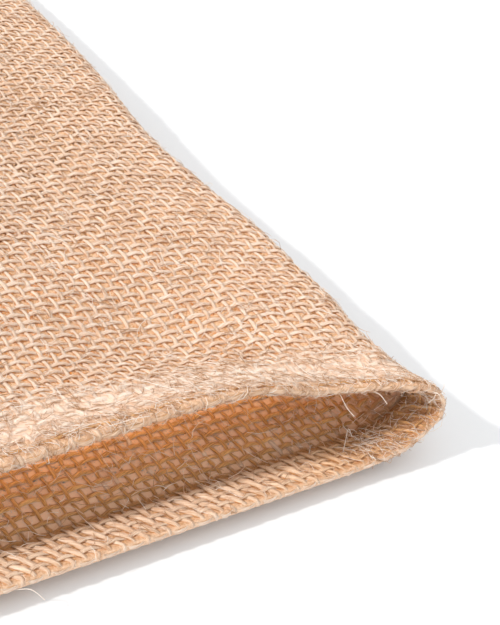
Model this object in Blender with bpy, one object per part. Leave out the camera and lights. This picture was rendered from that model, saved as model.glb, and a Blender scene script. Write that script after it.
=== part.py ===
"""A small empty jute sack lying on its side, mouth gaping, as one folded and hemmed piece of cloth.

The sack lies on the plane z = 0. X runs along the mouth, from the seamed side to the folded side.
Y runs from the mouth (-Y) to the closed bottom (+Y). The origin is the middle of the footprint.
"""

import bmesh
import bpy
import numpy as np

MM = 0.001

# Driving dimensions, in millimetres.
SACK_WIDTH = 250.0
SACK_LENGTH = 400.0
WALL = 1.5
HEM_WIDTH = 10.5
HEM_WALL = 3.0
RIM_ROUND = 0.9
BOTTOM_SEAM = 5.0
SIDE_SEAM = 4.0
LEAST_GAP = 0.5

# How far the upper lip stands back from the lower one, and over which stretches it draws in.
LIP_SETBACK = 8.6
FURTHER_SETBACK = 4.4
CORNER_SETBACK = 1.5
SETBACK_REACH_FOLD = 26.0
SETBACK_REACH_FURTHER = 85.0
SETBACK_REACH_SEAM = 70.0

# Height of the upper layer's outer face, in millimetres. Each row is a section at the distance
# "back" from the mouth. The other columns stand at the places across the sack in TOP_PLACES.
TOP_PLACES = np.array([-120.0, -95.0, -50.0, 0.0, 50.0, 80.0, 100.0, 113.0])
TOP_COLUMNS = (
    "back", "seam", "left", "mid_left", "middle", "mid_right", "right", "near_fold", "shoulder",
)
TOP_SECTIONS = np.array([
    (0.0, 9.0, 12.6, 16.6, 18.6, 21.6, 23.1, 18.5, 19.6),
    (10.0, 8.4, 12.0, 16.4, 18.0, 19.6, 19.5, 16.6, 18.0),
    (25.0, 6.0, 10.6, 16.4, 18.6, 16.6, 13.2, 14.9, 16.9),
    (50.0, 4.4, 9.8, 15.0, 16.4, 15.4, 13.4, 13.7, 14.4),
    (75.0, 4.2, 10.2, 14.6, 16.0, 15.8, 14.3, 14.7, 15.3),
    (100.0, 4.2, 11.2, 15.4, 17.0, 16.4, 15.3, 15.8, 16.4),
    (150.0, 4.2, 10.6, 15.8, 15.4, 14.4, 13.8, 13.4, 13.2),
    (200.0, 4.2, 9.6, 14.0, 15.6, 15.2, 13.4, 12.8, 12.6),
    (260.0, 4.2, 9.8, 13.4, 14.2, 13.6, 11.7, 10.9, 10.6),
    (320.0, 4.0, 7.0, 10.2, 11.4, 9.8, 9.5, 8.8, 8.2),
    (370.0, 3.8, 5.6, 6.4, 7.2, 7.4, 6.5, 6.1, 5.8),
    (400.0, 3.6, 3.6, 3.6, 3.6, 3.6, 3.6, 3.6, 3.6),
])

# Height of the lower layer's outer face at the seamed and at the folded side, in millimetres. It
# lies flat, but for the lip that curls up and a soft buckle behind the hem.
UNDER_COLUMNS = ("back", "at_seam", "at_fold")
UNDER_SECTIONS = np.array([
    (0.0, 3.2, 2.1),
    (8.0, 1.9, 1.5),
    (20.0, 0.9, 3.0),
    (32.0, 0.3, 3.6),
    (50.0, 0.0, 1.5),
    (70.0, 0.0, 0.0),
])

# The folded side, in millimetres: how far its outermost line lies inside the full width, the
# height of that line, and how far in the upper and the lower layer take to round it.
FOLD_COLUMNS = ("back", "inside", "height", "round_over", "round_under")
FOLD_SECTIONS = np.array([
    (0.0, 0.5, 10.6, 9.5, 25.0),
    (8.0, 2.6, 10.2, 9.0, 21.0),
    (15.0, 3.3, 9.6, 8.2, 16.0),
    (25.0, 2.9, 8.6, 8.0, 12.0),
    (38.0, 0.6, 7.4, 7.8, 10.0),
    (50.0, 0.0, 6.8, 7.5, 9.2),
    (62.0, 0.4, 6.7, 7.6, 9.0),
    (80.0, 3.5, 7.1, 7.8, 9.0),
    (99.0, 6.2, 7.4, 8.0, 9.0),
    (112.0, 5.7, 7.1, 8.0, 9.0),
    (130.0, 2.7, 6.5, 7.8, 8.6),
    (150.0, 0.6, 6.0, 7.5, 8.0),
    (175.0, 0.4, 5.9, 7.2, 8.0),
    (200.0, 1.2, 5.8, 7.0, 8.0),
    (300.0, 0.4, 4.6, 6.0, 6.0),
    (370.0, 2.2, 2.8, 4.0, 4.0),
    (400.0, 1.0, 1.8, 1.8, 1.8),
])

# The seamed side, in millimetres: how far it lies inside the full width.
SEAM_COLUMNS = ("back", "inside")
SEAM_SECTIONS = np.array([
    (0.0, 0.4),
    (60.0, 2.2),
    (130.0, 0.0),
    (230.0, 2.6),
    (320.0, 0.8),
    (400.0, 1.4),
])

# Soft creases of the upper layer, in millimetres. Each row gives where one starts and ends, both
# across the sack and back from the mouth, and then its height and its half width.
CREASES = np.array([
    (-114.0, 22.0, -34.0, 118.0, 1.9, 15.0),
    (-104.0, 196.0, 6.0, 178.0, 1.7, 14.0),
    (6.0, 178.0, 104.0, 216.0, 1.5, 14.0),
    (-66.0, 372.0, -22.0, 268.0, 1.8, 14.0),
    (84.0, 366.0, 52.0, 276.0, 1.6, 14.0),
])

# Where the wall's rings lie, as distances back from the mouth, in millimetres.
RINGS_AT_MOUTH = (RIM_ROUND, 4.5, HEM_WIDTH, HEM_WIDTH + 1.5, 14.0, 19.5, 26.0, 34.0)
RINGS_ALONG = (44.0, 56.0, 69.0, 82.0, 95.0, 108.0, 122.0, 136.0, 150.0, 165.0, 180.0, 194.0, 208.0)
RINGS_AT_BOTTOM = (224.0, 242.0, 260.0, 278.0, 296.0, 314.0, 332.0, 350.0, 366.0, 380.0, 391.0)

FLAT_STEPS = 26
FOLD_STEPS = 5
SEAM_STEPS = 2

JUTE_COLOUR = (0.62, 0.43, 0.27, 1.0)
JUTE_ROUGHNESS = 0.95


def clear_scene():
    """Remove every object, so that the sack is modelled in an empty scene."""
    for existing in list(bpy.data.objects):
        bpy.data.objects.remove(existing, do_unlink=True)


def ease(value):
    """Rise smoothly from 0 to 1 as value goes from 0 to 1."""
    inside = np.clip(value, 0.0, 1.0)
    return inside * inside * (3.0 - 2.0 * inside)


def smooth_read(places, values, at):
    """Read a column of values at a place, on a smooth curve through its points."""
    slopes = np.gradient(values, places)
    low = int(np.clip(np.searchsorted(places, at) - 1, 0, len(places) - 2))
    span = places[low + 1] - places[low]
    part = np.clip((at - places[low]) / span, 0.0, 1.0)
    keep = (1.0 + 2.0 * part) * (1.0 - part) ** 2
    gain = part * part * (3.0 - 2.0 * part)
    leave = part * (1.0 - part) ** 2 * span
    arrive = part * part * (part - 1.0) * span
    return keep * values[low] + gain * values[low + 1] + leave * slopes[low] + arrive * slopes[low + 1]


def column(table, names, name, back):
    """Read one named column of a table of sections at the distance back from the mouth."""
    return float(smooth_read(table[:, 0], table[:, names.index(name)], back))


def crease_height(across, back):
    """How much the soft creases raise the upper layer at a place."""
    raised = 0.0
    for from_across, from_back, to_across, to_back, height, half_width in CREASES:
        run = np.array([to_across - from_across, to_back - from_back])
        offset = np.array([across - from_across, back - from_back])
        share = np.clip(offset @ run / (run @ run), 0.0, 1.0)
        distance = np.linalg.norm(offset - share * run)
        fade = np.sin(np.pi * (0.12 + 0.76 * share))
        raised += height * fade * (1.0 - ease(distance / half_width))
    return raised


def top_height(across, back):
    """Height of the upper layer's outer face at a place across the sack."""
    heights = [column(TOP_SECTIONS, TOP_COLUMNS, name, back) for name in TOP_COLUMNS[1:]]
    return float(smooth_read(TOP_PLACES, np.array(heights), across)) + crease_height(across, back)


def under_height(across, back):
    """Height of the lower layer's outer face at a place across the sack."""
    share = (across + SACK_WIDTH / 2) / SACK_WIDTH
    at_seam = column(UNDER_SECTIONS, UNDER_COLUMNS, "at_seam", back)
    at_fold = column(UNDER_SECTIONS, UNDER_COLUMNS, "at_fold", back)
    return max(at_seam + (at_fold - at_seam) * share, 0.0)


def side_lines(back):
    """Places across the sack of its seamed side and of its folded side."""
    seam = -SACK_WIDTH / 2 + column(SEAM_SECTIONS, SEAM_COLUMNS, "inside", back)
    fold = SACK_WIDTH / 2 - column(FOLD_SECTIONS, FOLD_COLUMNS, "inside", back)
    return seam, fold


def set_back(across, back, upper):
    """How far a point of the cloth stands back, because the upper lip is drawn in."""
    seam, fold = side_lines(back)
    from_fold = (fold - across) / SETBACK_REACH_FOLD
    from_seam = (across - seam) / SETBACK_REACH_SEAM
    if upper:
        drawn = CORNER_SETBACK + (LIP_SETBACK - CORNER_SETBACK) * ease(from_fold)
        drawn += FURTHER_SETBACK * ease((fold - across) / SETBACK_REACH_FURTHER)
    else:
        drawn = CORNER_SETBACK * (1.0 - ease(from_fold * 2.0))
    return drawn * ease(from_seam) * (1.0 - back / SACK_LENGTH)


def layer_heights(across, back, inset):
    """Heights of the lower and the upper layer's face at an inset from the outer face."""
    floor = under_height(across, back) + inset
    roof = max(top_height(across, back) - inset, floor + LEAST_GAP)
    return floor, roof


def flat_points(start, end, back, inset, upper):
    """Points along one layer, from the seamed side to where it begins to round the fold."""
    points = []
    for share in np.linspace(0.0, 1.0, FLAT_STEPS + 1):
        across = start + (end - start) * share
        points.append((across, layer_heights(across, back, inset)[int(upper)], upper))
    return points


def fold_points(start, end, back, inset, upper):
    """Points on a quarter of an ellipse, from a layer to the fold's outermost line."""
    fold_height = column(FOLD_SECTIONS, FOLD_COLUMNS, "height", back)
    points = []
    for step in range(1, FOLD_STEPS + 1):
        turn = np.pi / 2 * step / FOLD_STEPS
        across = start + (end - start) * np.sin(turn)
        floor, roof = layer_heights(across, back, inset)
        middle = float(np.clip(fold_height, floor + LEAST_GAP / 2, roof - LEAST_GAP / 2))
        level = roof if upper else floor
        points.append((across, middle + (level - middle) * np.cos(turn), upper))
    return points


def seam_points(end, half_height, back, inset):
    """Points on a half circle, from the upper layer round the seamed side to the lower one."""
    middle = sum(layer_heights(end, back, inset)) / 2
    points = []
    for step in range(1, SEAM_STEPS * 2):
        turn = np.pi / 2 * (1.0 - step / SEAM_STEPS)
        across = end + half_height * (1.0 - np.cos(turn))
        points.append((across, middle + half_height * np.sin(turn), True))
    return points


def section(back, inset):
    """One closed section of the sack, as points in millimetres, inset from its outer face.

    It runs along the lower layer from the seamed side, round the fold, and back along the
    upper layer. The inset is the wall's thickness there, and is 0 on the outer face.
    """
    seam, fold = side_lines(back)
    seam_end = seam + inset * SIDE_SEAM / WALL
    fold_end = fold - inset
    over = column(FOLD_SECTIONS, FOLD_COLUMNS, "round_over", back)
    under = column(FOLD_SECTIONS, FOLD_COLUMNS, "round_under", back)
    over_end = fold - max(over, inset + LEAST_GAP)
    under_end = fold - max(under, inset + LEAST_GAP)
    floor, roof = layer_heights(seam_end, back, inset)
    half_height = (roof - floor) / 2
    start = seam_end + half_height

    points = flat_points(start, under_end, back, inset, upper=False)
    points += fold_points(under_end, fold_end, back, inset, upper=False)
    points += fold_points(over_end, fold_end, back, inset, upper=True)[-2::-1]
    points += flat_points(start, over_end, back, inset, upper=True)[::-1]
    points += seam_points(seam_end, half_height, back, inset)
    return [(x, -SACK_LENGTH / 2 + back + set_back(x, back, upper), z) for x, z, upper in points]


def rim_ring(back, outer_inset):
    """A ring of the rounded rim, at an inset that lies within the hem's thickness."""
    outside = np.array(section(back, 0.0))
    inside = np.array(section(back, HEM_WALL))
    share = outer_inset / HEM_WALL
    return [tuple(point) for point in outside + (inside - outside) * share]


def wall_at(back):
    """Thickness of the wall: doubled over the width of the hem."""
    return HEM_WALL if back <= HEM_WIDTH else WALL


def wall_rings():
    """All rings of the wall in order: up the outside to the mouth, over the rim, down the inside."""
    places = RINGS_AT_MOUTH + RINGS_ALONG + RINGS_AT_BOTTOM
    outer_places = places + (SACK_LENGTH,)
    inner_places = tuple(min(place, SACK_LENGTH - BOTTOM_SEAM) for place in outer_places)
    rings = [section(back, 0.0) for back in reversed(outer_places)]
    rings.append(rim_ring(0.0, RIM_ROUND))
    rings.append(rim_ring(0.0, HEM_WALL - RIM_ROUND))
    rings += [section(back, wall_at(back)) for back in inner_places]
    return rings


def cap(mesh, ring):
    """Close the flat end of a ring with faces between its lower and its upper layer."""
    count = len(ring)
    tip = FLAT_STEPS + FOLD_STEPS
    for step in range(count // 2):
        lower = (ring[(tip - step) % count], ring[(tip - step - 1) % count])
        upper = (ring[(tip + step + 1) % count], ring[(tip + step) % count])
        corners = list(dict.fromkeys(lower + upper))
        mesh.faces.new(corners)


def build_sack():
    """Loft the wall through its rings and close it inside and outside at the bottom.

    The sections differ from each other all the way, so the faces between them are made here.
    """
    mesh = bmesh.new()
    rings = []
    for points in wall_rings():
        rings.append([mesh.verts.new((x * MM, y * MM, z * MM)) for x, y, z in points])
    count = len(rings[0])
    for ring, following in zip(rings[:-1], rings[1:]):
        for place in range(count):
            after = (place + 1) % count
            mesh.faces.new((ring[place], ring[after], following[after], following[place]))
    cap(mesh, rings[0])
    cap(mesh, rings[-1])
    bmesh.ops.recalc_face_normals(mesh, faces=mesh.faces)
    data = bpy.data.meshes.new("sack")
    mesh.to_mesh(data)
    mesh.free()
    data.shade_smooth()
    return bpy.data.objects.new("sack", data)


def jute_material():
    """Plain natural jute."""
    material = bpy.data.materials.new("natural_jute")
    material.use_nodes = True
    shader = material.node_tree.nodes["Principled BSDF"]
    shader.inputs["Base Color"].default_value = JUTE_COLOUR
    shader.inputs["Roughness"].default_value = JUTE_ROUGHNESS
    shader.inputs["Metallic"].default_value = 0.0
    return material


def main():
    clear_scene()
    collection = bpy.data.collections.new("jute_sack")
    bpy.context.scene.collection.children.link(collection)
    sack = build_sack()
    sack.data.materials.append(jute_material())
    collection.objects.link(sack)


main()
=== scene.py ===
"""A small natural jute sack on its side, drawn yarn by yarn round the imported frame.

The cloth is one sheet, folded at the right and closed at the left and at the bottom. A place on it
has two numbers: u counts the warp threads round the sack, from the closed side along the lower
layer to the fold and back along the upper layer, and v counts the weft rows back from the mouth.
Rows below zero belong to the hem, which is turned inside. The tables are in millimetres.
"""

from functools import partial

import bpy
import numpy as np
from mathutils import Matrix, Vector


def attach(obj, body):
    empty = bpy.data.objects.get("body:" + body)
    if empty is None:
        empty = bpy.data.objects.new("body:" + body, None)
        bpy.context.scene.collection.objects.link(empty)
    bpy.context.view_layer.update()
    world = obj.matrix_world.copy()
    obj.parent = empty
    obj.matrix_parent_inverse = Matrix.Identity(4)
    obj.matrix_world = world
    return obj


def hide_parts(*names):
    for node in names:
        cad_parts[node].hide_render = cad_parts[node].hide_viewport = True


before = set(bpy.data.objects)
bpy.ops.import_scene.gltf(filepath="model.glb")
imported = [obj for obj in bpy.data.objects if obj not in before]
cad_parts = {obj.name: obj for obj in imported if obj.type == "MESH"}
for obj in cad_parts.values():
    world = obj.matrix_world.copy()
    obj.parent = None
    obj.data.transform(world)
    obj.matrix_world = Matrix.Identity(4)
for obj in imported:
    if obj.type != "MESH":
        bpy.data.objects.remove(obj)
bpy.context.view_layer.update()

bl_info = {
    "name": "Jute sack",
    "version": (1, 0, 0),
    "blender": (4, 5, 0),
    "location": "3D View > Sidebar > Jute sack",
    "description": "Builds a small woven jute sack, with its yarns, hem and stray fibres",
    "category": "Object",
}

MM = 0.001
BODY = "root"
NODE = "sack"

# The shape in which the cloth lies, in millimetres, as the sack's solid has it.
SACK_WIDTH = 250.0
SACK_LENGTH = 400.0
WALL = 1.5
SIDE_SEAM = 4.0
LEAST_GAP = 0.5
LIP_SETBACK = 8.6
FURTHER_SETBACK = 4.4
CORNER_SETBACK = 1.5
SETBACK_REACH_FOLD = 26.0
SETBACK_REACH_FURTHER = 85.0
SETBACK_REACH_SEAM = 70.0

# Height of the upper layer: one row for each distance back from the mouth, then the heights at
# the places across the sack.
TOP_PLACES = np.array([-120.0, -95.0, -50.0, 0.0, 50.0, 80.0, 100.0, 113.0])
TOP_SECTIONS = np.array([
    (0.0, 9.0, 12.6, 16.6, 18.6, 21.6, 23.1, 18.5, 19.6),
    (10.0, 8.4, 12.0, 16.4, 18.0, 19.6, 19.5, 16.6, 18.0),
    (25.0, 6.0, 10.6, 16.4, 18.6, 16.6, 13.2, 14.9, 16.9),
    (50.0, 4.4, 9.8, 15.0, 16.4, 15.4, 13.4, 13.7, 14.4),
    (75.0, 4.2, 10.2, 14.6, 16.0, 15.8, 14.3, 14.7, 15.3),
    (100.0, 4.2, 11.2, 15.4, 17.0, 16.4, 15.3, 15.8, 16.4),
    (150.0, 4.2, 10.6, 15.8, 15.4, 14.4, 13.8, 13.4, 13.2),
    (200.0, 4.2, 9.6, 14.0, 15.6, 15.2, 13.4, 12.8, 12.6),
    (260.0, 4.2, 9.8, 13.4, 14.2, 13.6, 11.7, 10.9, 10.6),
    (320.0, 4.0, 7.0, 10.2, 11.4, 9.8, 9.5, 8.8, 8.2),
    (370.0, 3.8, 5.6, 6.4, 7.2, 7.4, 6.5, 6.1, 5.8),
    (400.0, 3.6, 3.6, 3.6, 3.6, 3.6, 3.6, 3.6, 3.6),
])
# Height of the lower layer at the seamed and at the folded side, by the distance back.
UNDER_SECTIONS = np.array([
    (0.0, 3.2, 2.1),
    (8.0, 1.9, 1.5),
    (20.0, 0.9, 3.0),
    (32.0, 0.3, 3.6),
    (50.0, 0.0, 1.5),
    (70.0, 0.0, 0.0),
])
# The folded side: distance back, how far inside the full width, height, and the two rounds.
FOLD_SECTIONS = np.array([
    (0.0, 0.5, 10.6, 9.5, 25.0),
    (8.0, 2.6, 10.2, 9.0, 21.0),
    (15.0, 3.3, 9.6, 8.2, 16.0),
    (25.0, 2.9, 8.6, 8.0, 12.0),
    (38.0, 0.6, 7.4, 7.8, 10.0),
    (50.0, 0.0, 6.8, 7.5, 9.2),
    (62.0, 0.4, 6.7, 7.6, 9.0),
    (80.0, 3.5, 7.1, 7.8, 9.0),
    (99.0, 6.2, 7.4, 8.0, 9.0),
    (112.0, 5.7, 7.1, 8.0, 9.0),
    (130.0, 2.7, 6.5, 7.8, 8.6),
    (150.0, 0.6, 6.0, 7.5, 8.0),
    (175.0, 0.4, 5.9, 7.2, 8.0),
    (200.0, 1.2, 5.8, 7.0, 8.0),
    (300.0, 0.4, 4.6, 6.0, 6.0),
    (370.0, 2.2, 2.8, 4.0, 4.0),
    (400.0, 1.0, 1.8, 1.8, 1.8),
])
SEAM_SECTIONS = np.array([
    (0.0, 0.4),
    (60.0, 2.2),
    (130.0, 0.0),
    (230.0, 2.6),
    (320.0, 0.8),
    (400.0, 1.4),
])
# Soft creases of the upper layer: two ends as across and back, the height and the half width.
CREASES = np.array([
    (-114.0, 22.0, -34.0, 118.0, 1.9, 15.0),
    (-104.0, 196.0, 6.0, 178.0, 1.7, 14.0),
    (6.0, 178.0, 104.0, 216.0, 1.5, 14.0),
    (-66.0, 372.0, -22.0, 268.0, 1.8, 14.0),
    (84.0, 366.0, 52.0, 276.0, 1.6, 14.0),
])

# The weave: the distance between two threads, then places counted in threads.
PITCH = 2.5
WARPS = 200
FOLD = 100.0
ROWS = 160
# The hem's inner strip: its whole rows, its raw edge, and how far each row is pulled along the mouth.
HEM_ROWS = 3
RAW_EDGE = -3.6
HEM_PULL = 0.55
# How deep below the outer face the middle of the cloth lies, and that of the hem's inner strip.
MIDDLE_INSET = 0.8
HEM_INSET = 2.2
RIM_RADIUS = (HEM_INSET - MIDDLE_INSET) / 2
RIM_HALF = np.pi / 2 * RIM_RADIUS / PITCH
# The shape is kept as a grid, with so many points for a thread, from this row on.
GRID = 4
GRID_START = -5.0
# How far the closed edges are tucked in, and over how many threads.
TUCK = 1.0
TUCK_REACH = 0.8

# Marks along the mouth, each as its middle and its reach, in rows: where the yarns lie calmer, the
# fuzz of the rim, the crease where the hem turns under, which takes painted shade, the pale rubbed
# band behind it, the groove and the ridge over the hem's inner edge, the raw edge, which takes painted
# shade, and the rows inside, next to the hem, darkened by painted shade.
RIM = (0.0, 0.9)
RIM_TUFTS = (0.2, 0.6)
CREASE = (1.0, 0.26)
BAND = (3.4, 2.1)
GROOVE = (3.35, 0.42)
RIDGE = (5.2, 1.1)
RAW = (RAW_EDGE, 0.75)
SHADE = (3.7, 1.9)
# How much calmer the yarns are there, how thin a warp is at its raw end, as a share of its width,
# and how deep the groove and how high the ridge is.
RIM_CALM = 0.25
FRAYED = 0.3
GROOVE_DEPTH = 0.30
RIDGE_HEIGHT = 0.30
# The warp at which the rubbed band has faded, and the folded corner of the mouth, where the
# turned-in cloth takes more painted shade, as warps.
BAND_END = 158.0
CORNER = (FOLD, 12.0)
# The row inside at which the painted highlight specks on the warps have faded.
GLINTS_END = 16.0
# Soft random waves, each as its height, its reach across and along in threads, and its seed: the
# unevenness of the cloth, in millimetres, and how the weave wanders across and along, in threads.
CLOTH_WAVES = ((0.28, 9.0, 7.0, 5), (0.16, 4.2, 3.4, 6))
WANDER_ACROSS = ((0.13, 2.3, 5.5, 11), (0.06, 1.1, 1.7, 12))
WANDER_ALONG = ((0.13, 6.0, 2.2, 13), (0.06, 1.6, 1.1, 14))


def ease(value):
    """Rise smoothly from 0 to 1 as value goes from 0 to 1."""
    inside = np.clip(value, 0.0, 1.0)
    return inside * inside * (3.0 - 2.0 * inside)


def swell(value, middle, reach):
    """A soft swelling of height 1 at the middle, which fades beyond its reach on both sides."""
    return np.exp(-(((value - middle) / reach) ** 2))


def read_curve(places, values, at):
    """Read values on a smooth curve through its points."""
    slopes = np.gradient(values, places)
    low = np.clip(np.searchsorted(places, at) - 1, 0, len(places) - 2)
    span = places[low + 1] - places[low]
    part = np.clip((at - places[low]) / span, 0.0, 1.0)
    keep = (1.0 + 2.0 * part) * (1.0 - part) ** 2
    gain = part * part * (3.0 - 2.0 * part)
    leave = part * (1.0 - part) ** 2 * span
    arrive = part * part * (part - 1.0) * span
    return keep * values[low] + gain * values[low + 1] + leave * slopes[low] + arrive * slopes[low + 1]


def patches(u, v, seed):
    """Smooth random values from -1 to 1 over a plane of unit cells, the same each run."""
    size = 128
    table = np.random.default_rng(seed).uniform(-1.0, 1.0, (size, size))
    u, v = np.broadcast_arrays(np.asarray(u, float), np.asarray(v, float))
    col, row = np.floor(u).astype(int), np.floor(v).astype(int)
    across, along = ease(u - col), ease(v - row)
    near = table[col % size, row % size] * (1 - across) + table[(col + 1) % size, row % size] * across
    row = row + 1
    far = table[col % size, row % size] * (1 - across) + table[(col + 1) % size, row % size] * across
    return near * (1 - along) + far * along


def waves(u, v, layers):
    """Soft random waves over the cloth, added up from their layers."""
    return sum(height * patches(u / across, v / along, seed) for height, across, along, seed in layers)


class SackShape:
    """The middle surface of the cloth, as a grid of points that is read between its lines."""

    def __init__(self):
        self.u = np.linspace(0.0, WARPS, WARPS * GRID + 1)
        self.v = np.concatenate([np.arange(GRID_START, 1.5, 0.125), np.arange(1.5, ROWS + 0.01, 0.25)])
        rings = [self.ring(*self.profile(v)) for v in self.v]
        self.points = np.stack(rings, axis=1)
        self.points += self.normals(self.points) * self.relief()[..., None]
        self.faces = self.normals(self.points)

    @staticmethod
    def profile(v):
        """Distance back from the mouth, and depth below the outer face, of the row v."""
        if abs(v) < RIM_HALF:
            turn = v / RIM_HALF * np.pi / 2
            back = RIM_RADIUS * (1.0 - np.cos(turn))
            return back, MIDDLE_INSET + RIM_RADIUS * (1.0 - np.sin(turn))
        back = RIM_RADIUS + (abs(v) - RIM_HALF) * PITCH
        return min(back, SACK_LENGTH), MIDDLE_INSET if v > 0 else HEM_INSET

    @staticmethod
    def top_height(across, back):
        """Height of the upper layer's outer face."""
        heights = np.array([read_curve(TOP_SECTIONS[:, 0], TOP_SECTIONS[:, i], back)
                            for i in range(1, TOP_SECTIONS.shape[1])])
        height = read_curve(TOP_PLACES, heights, across)
        for from_across, from_back, to_across, to_back, rise, half_width in CREASES:
            run = np.array([to_across - from_across, to_back - from_back])
            offset = np.stack([across - from_across, np.full_like(across, back - from_back)], axis=-1)
            share = np.clip(offset @ run / (run @ run), 0.0, 1.0)
            distance = np.linalg.norm(offset - share[:, None] * run, axis=1)
            rise = rise * np.sin(np.pi * (0.12 + 0.76 * share))
            height = height + rise * (1.0 - ease(distance / half_width))
        return height

    def layer_heights(self, across, back, inset):
        """Heights of the lower and the upper layer at a depth below the outer face."""
        share = (across + SACK_WIDTH / 2) / SACK_WIDTH
        at_seam, at_fold = [read_curve(UNDER_SECTIONS[:, 0], UNDER_SECTIONS[:, i], back) for i in (1, 2)]
        floor = np.maximum(at_seam + (at_fold - at_seam) * share, 0.0) + inset
        return floor, np.maximum(self.top_height(across, back) - inset, floor + LEAST_GAP)

    @staticmethod
    def set_back(across, back, seam, fold, upper):
        """How far the cloth stands back, because the upper lip is drawn in."""
        from_fold = (fold - across) / SETBACK_REACH_FOLD
        from_seam = (across - seam) / SETBACK_REACH_SEAM
        if upper:
            drawn = CORNER_SETBACK + (LIP_SETBACK - CORNER_SETBACK) * ease(from_fold)
            drawn = drawn + FURTHER_SETBACK * ease((fold - across) / SETBACK_REACH_FURTHER)
        else:
            drawn = CORNER_SETBACK * (1.0 - ease(from_fold * 2.0))
        return drawn * ease(from_seam) * (1.0 - back / SACK_LENGTH)

    def ring(self, back, inset):
        """One line round the sack, evenly divided on each of its two layers."""
        inside, middle, over, under = [read_curve(FOLD_SECTIONS[:, 0], FOLD_SECTIONS[:, i], back)
                                       for i in range(1, 5)]
        seam = -SACK_WIDTH / 2 + read_curve(SEAM_SECTIONS[:, 0], SEAM_SECTIONS[:, 1], back)
        fold = SACK_WIDTH / 2 - inside
        seam_end = seam + inset * SIDE_SEAM / WALL
        floor, roof = self.layer_heights(np.array([seam_end]), back, inset)
        half = (roof[0] - floor[0]) / 2
        layers = []
        for upper, reach in ((False, under), (True, over)):
            end = fold - max(reach, inset + LEAST_GAP)
            turn = np.linspace(0.0, np.pi / 2, 13)
            seam_x = seam_end + half * (1.0 - np.cos(turn))
            seam_z = floor[0] + half + half * np.sin(turn) * (1 if upper else -1)
            flat_x = np.linspace(seam_end + half, end, 161)[1:]
            flat_z = self.layer_heights(flat_x, back, inset)[int(upper)]
            turn = np.linspace(0.0, np.pi / 2, 25)[1:]
            fold_x = end + (fold - inset - end) * np.sin(turn)
            low, high = self.layer_heights(fold_x, back, inset)
            level = np.clip(middle, low + LEAST_GAP / 2, high - LEAST_GAP / 2)
            fold_z = level + ((high if upper else low) - level) * np.cos(turn)
            x = np.concatenate([seam_x, flat_x, fold_x])
            z = np.concatenate([seam_z, flat_z, fold_z])
            y = -SACK_LENGTH / 2 + back + self.set_back(x, back, seam, fold, upper)
            line = np.stack([x, y, z], axis=1)
            length = np.concatenate([[0.0], np.cumsum(np.linalg.norm(np.diff(line, axis=0), axis=1))])
            at = np.linspace(0.0, length[-1], WARPS * GRID // 2 + 1)
            layers.append(np.stack([np.interp(at, length, line[:, i]) for i in range(3)], axis=1))
        lower, upper = layers
        return np.concatenate([lower, upper[-2::-1]])

    @staticmethod
    def normals(points):
        """Unit normals of a grid of points, away from the inside of the sack."""
        across = np.gradient(points, axis=0)
        along = np.gradient(points, axis=1)
        normal = np.cross(along, across)
        return normal / np.maximum(np.linalg.norm(normal, axis=2, keepdims=True), 1e-9)

    def relief(self):
        """Soft unevenness of the cloth, the hem's groove, and the tucked edges."""
        u, v = np.meshgrid(self.u, self.v, indexing="ij")
        upper = ease((u - FOLD) / 6.0)
        groove = RIDGE_HEIGHT * swell(v, *RIDGE) - GROOVE_DEPTH * swell(v, *GROOVE)
        tucked = ease(1.0 - u / TUCK_REACH) + ease(1.0 - (WARPS - u) / TUCK_REACH)
        tucked = np.maximum(tucked, ease(1.0 - (ROWS - v) / TUCK_REACH))
        uneven = waves(u, v, CLOTH_WAVES) + groove
        return uneven * upper * ease((ROWS - v) / 4.0) - TUCK * tucked

    def at(self, u, v):
        """Points and outward normals at the places u, v of the cloth."""
        col = np.clip(u * GRID, 0.0, WARPS * GRID - 1e-6)
        row = np.clip(np.interp(v, self.v, np.arange(len(self.v))), 0.0, len(self.v) - 1 - 1e-6)
        i, j = col.astype(int), row.astype(int)
        a, b = (col - i)[:, None], (row - j)[:, None]
        read = []
        for grid in (self.points, self.faces):
            near = grid[i, j] * (1 - a) + grid[i + 1, j] * a
            far = grid[i, j + 1] * (1 - a) + grid[i + 1, j + 1] * a
            read.append(near * (1 - b) + far * b)
        points, normals = read
        return points, normals / np.linalg.norm(normals, axis=1, keepdims=True)


def drifted(u, v):
    """Where a thread's place really lies: the weave wanders a little, both sets of threads alike."""
    inner = ease(u / 3.0) * ease((WARPS - u) / 3.0) * ease((ROWS - v) / 3.0)
    pull = HEM_PULL * np.minimum(v + 0.5, 0.0)
    across = waves(u, v, WANDER_ACROSS) + pull
    along = waves(u, v, WANDER_ALONG)
    return u + across * inner, v + along * inner * ease((v - 0.4) / 2.0)


def hem_marks(u, v):
    """How much painted shade darkens the cloth in the hem's crease, inside the rim and most at the folded
    corner, and how pale it is along the band.
    """
    upper = ease((u - FOLD + 6.0) / 6.0)
    crease = swell(v, *CREASE) * upper
    band = swell(v, *BAND) * upper * (1.0 - crease) * (0.25 + 0.75 * ease((BAND_END - u) / 14.0))
    turned = (0.25 + 0.65 * swell(u, *CORNER)) * ease(-v / RIM_HALF)
    turned = np.maximum(turned, 0.3 * swell(v, 0.0, 0.6) * upper)
    return np.maximum(turned, 0.9 * crease), band


def hem_shade(u, v):
    """How much painted shade darkens the cloth at the hem's raw edge, and on the inner face of the lower
    layer there.
    """
    return swell(v, *RAW), swell(v, *SHADE) * ease((FOLD - u) / 4.0)


def slubs(kind, number, place):
    """How much thicker a yarn is than the mean one, along its length."""
    seed = 31 if kind == "warp" else 41
    slow = patches(number * 7.31 + 0.5, place / 13.0, seed)
    quick = patches(number * 3.17 + 0.5, place / 1.9, seed + 1)
    spread = 0.13 if kind == "warp" else 0.10
    return 1.0 + spread * slow + 0.10 * quick


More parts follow.
